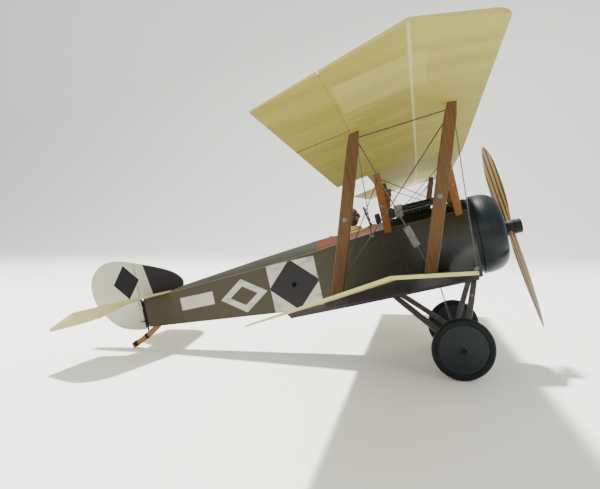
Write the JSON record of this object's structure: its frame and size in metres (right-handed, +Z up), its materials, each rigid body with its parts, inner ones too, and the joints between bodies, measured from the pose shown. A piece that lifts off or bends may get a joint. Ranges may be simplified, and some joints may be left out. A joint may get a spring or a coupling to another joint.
{
  "type": "rubber-powered model biplane",
  "caption": "Small free-flight model of a wartime biplane scout: creased sheet wings, struts and wires, spinning propeller and wheels, hinged ailerons, elevator and rudder, rubber motor inside.",
  "frame": {"origin": "centre of the bounding box in plan, on the ground plane under the wheels and the tail skid", "axes": "+X forward over the ground towards the propeller, +Y to port along the span, +Z up; the aeroplane stands nose up at 12.9 degrees"},
  "size_m": [0.2518, 0.358, 0.1171],
  "materials": {
    "fuselage_skin": "printed sheet foam, dark olive",
    "deck_skin": "printed sheet foam, grey-olive",
    "belly_skin": "printed sheet foam, dark purple-brown",
    "coaming": "orange-brown sheet foam",
    "plywood": "bare thin plywood",
    "cowl_black": "thin moulded shell, satin black",
    "engine_grey": "moulded, dark metallic grey",
    "bearing_brass": "drawn tube",
    "prop_wood": "laminated light and dark wood, varnished",
    "hub_black": "satin black",
    "steel_wire": "music wire",
    "motor_rubber": "tan rubber strip",
    "peg_tube": "drawn tube",
    "wing_foam": "thin foam sheet, pale underside, dark olive printed top",
    "strut_brown": "brown painted wood",
    "cabane_brown": "orange-brown painted wood",
    "gear_leg": "dark grey-brown painted wood",
    "tyre_black": "matt black",
    "wheel_black": "satin black cover",
    "fin_white": "printed foam sheet, white with a dark front",
    "tin": "small pressed plates",
    "skid_wood": "varnished",
    "binding": "dark thread",
    "leather": "dark mottled flying helmet and coat",
    "scarf": "tan wool",
    "gun_metal": "dark gunmetal",
    "feed_beige": "beige",
    "screen": "clear sheet",
    "pad_black": "black padding",
    "rigging_thread": "fine wire"
  },
  "bodies": {
    "airframe": {"fuselage_side_left": "fuselage_skin", "fuselage_side_right": "fuselage_skin", "fuselage_floor": "belly_skin", "belly_pan": "belly_skin", "front_deck": "deck_skin", "cockpit_coaming": "coaming", "rear_deck": "deck_skin", "firewall": "plywood", "tail_block": "plywood", "cowl": "cowl_black", "cowl_ring": "cowl_black", "nose_block": "plywood", "dummy_rotary": "engine_grey", "thrust_bearing": "bearing_brass", "rubber_motor": "motor_rubber", "motor_peg": "peg_tube", "upper_wing_centre": "wing_foam", "upper_wing_left": "wing_foam", "upper_wing_right": "wing_foam", "lower_wing_left": "wing_foam", "lower_wing_right": "wing_foam", "interplane_struts_left": "strut_brown", "interplane_struts_right": "strut_brown", "cabane_struts_left": "cabane_brown", "cabane_struts_right": "cabane_brown", "gear_legs_left": "gear_leg", "gear_legs_right": "gear_leg", "axle": "steel_wire", "fin": "fin_white", "tailplane": "wing_foam", "tail_skid": "skid_wood", "skid_bindings": "binding", "stern_wires": "steel_wire", "cockpit_boards": "plywood", "pilot_seat": "plywood", "pilot_head": "leather", "pilot_scarf": "scarf", "pilot_body": "leather", "gun": "gun_metal", "gun_feed_block": "feed_beige", "gun_mount": "steel_wire", "windscreen": "screen", "windscreen_pad": "pad_black", "wing_wires": "rigging_thread", "centre_wires": "rigging_thread", "rigging_fittings": "tin"},
    "propeller_unit": {"propeller": "prop_wood", "prop_hub": "hub_black", "prop_shaft": "steel_wire"},
    "wheel_left": {"tyre_left": "tyre_black", "wheel_disc_left": "wheel_black"},
    "wheel_right": {"tyre_right": "tyre_black", "wheel_disc_right": "wheel_black"},
    "aileron_left": {"aileron_left": "wing_foam"},
    "aileron_right": {"aileron_right": "wing_foam"},
    "rudder": {"rudder": "fin_white"},
    "elevator": {"elevator_left": "wing_foam", "elevator_right": "wing_foam", "elevator_fittings": "tin"}
  },
  "joints": [
    {"name": "propeller_spin", "type": "hinge", "parent": "airframe", "child": "propeller_unit", "pos_m": [0.1145, 0, 0.07099], "axis": [0.9748, 0, 0.2229], "continuous": true},
    {"name": "wheel_left_spin", "type": "hinge", "parent": "airframe", "child": "wheel_left", "pos_m": [0.08906, 0.0351, 0.0145], "axis": [0, 1, 0], "continuous": true},
    {"name": "wheel_right_spin", "type": "hinge", "parent": "airframe", "child": "wheel_right", "pos_m": [0.08906, -0.0351, 0.0145], "axis": [0, 1, 0], "continuous": true},
    {"name": "aileron_left_hinge", "type": "hinge", "parent": "airframe", "child": "aileron_left", "pos_m": [0.04633, 0.145, 0.10265], "axis": [-0.0111, 0.9988, 0.0485], "range_deg": [-20, 20]},
    {"name": "aileron_right_hinge", "type": "hinge", "parent": "airframe", "child": "aileron_right", "pos_m": [0.04633, -0.145, 0.10265], "axis": [0.0111, 0.9988, -0.0485], "range_deg": [-20, 20]},
    {"name": "elevator_hinge", "type": "hinge", "parent": "airframe", "child": "elevator", "pos_m": [-0.09111, 0, 0.03034], "axis": [0, 1, 0], "range_deg": [-8, 42]},
    {"name": "rudder_hinge", "type": "hinge", "parent": "airframe", "child": "rudder", "pos_m": [-0.09325, 0, 0.02985], "axis": [-0.2229, 0, 0.9748], "range_deg": [-25, 25]}
  ],
  "couplings": [
    {"joint": "aileron_right_hinge", "follows": "aileron_left_hinge", "ratio": -1}
  ]
}
